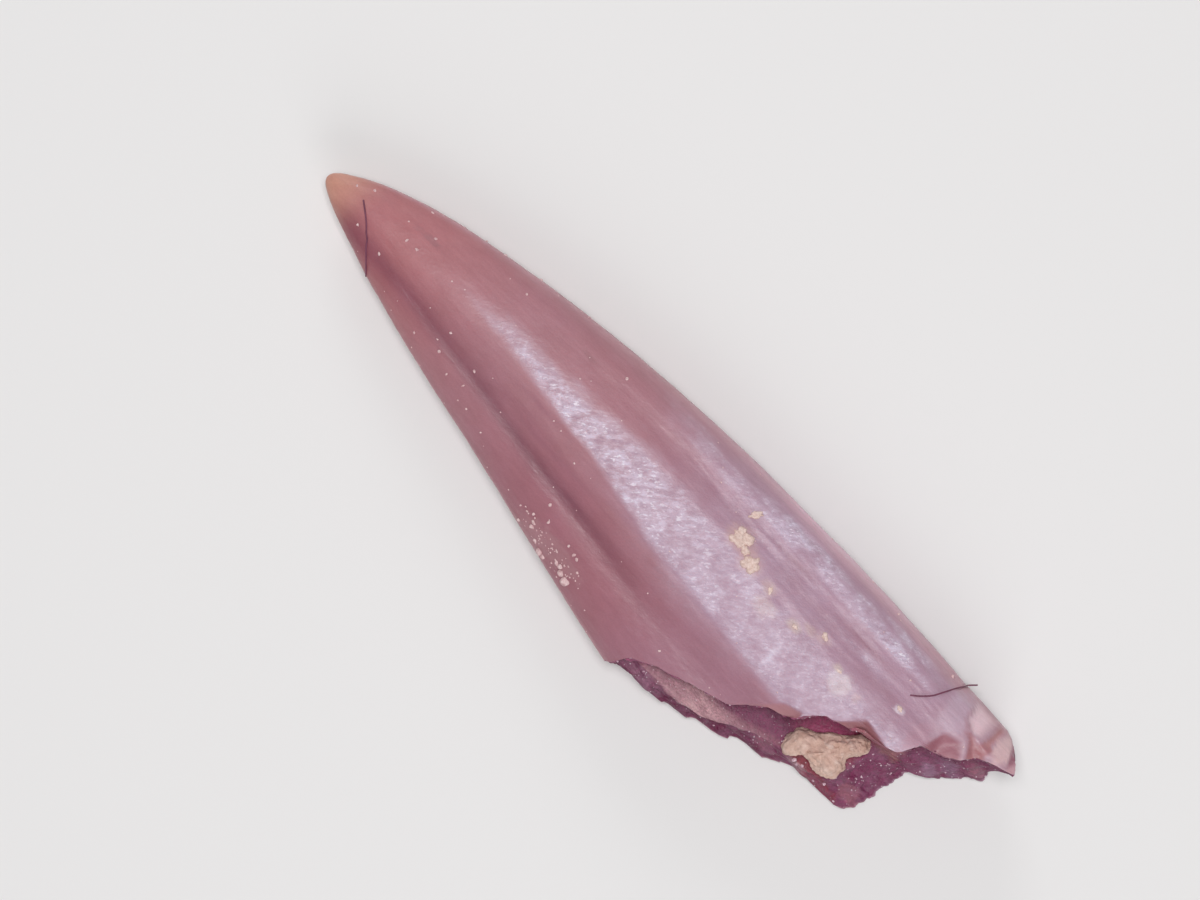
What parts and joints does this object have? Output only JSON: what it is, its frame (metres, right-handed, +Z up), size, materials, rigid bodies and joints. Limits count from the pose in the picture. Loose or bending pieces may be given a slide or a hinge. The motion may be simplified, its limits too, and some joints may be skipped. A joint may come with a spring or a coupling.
{
  "type": "fossil archosaur tooth",
  "caption": "Slender flattened tooth crown with a blunt apex, broken obliquely at the base, with sediment lodged in the hollow of the break; it lies on its side.",
  "frame": {"origin": "bottom centre of the bounding box, in the plane of the flat spot on the lower face, with the crown lying on its side", "axes": "+X along the crown from the apex to the broken base; +Y across it, toward the more convex margin; +Z up, away from the face it rests on"},
  "size_m": [0.0072, 0.002, 0.001],
  "materials": {
    "enamel": "satin mauve-pink fossil enamel, paler and glittering on the ridges, tan at the apex, dark purple granular dentine on the break",
    "sediment": "matt, earthy, pale ochre, finely granular"
  },
  "bodies": {
    "root": {"tooth": "enamel", "matrix": "sediment"}
  },
  "joints": []
}
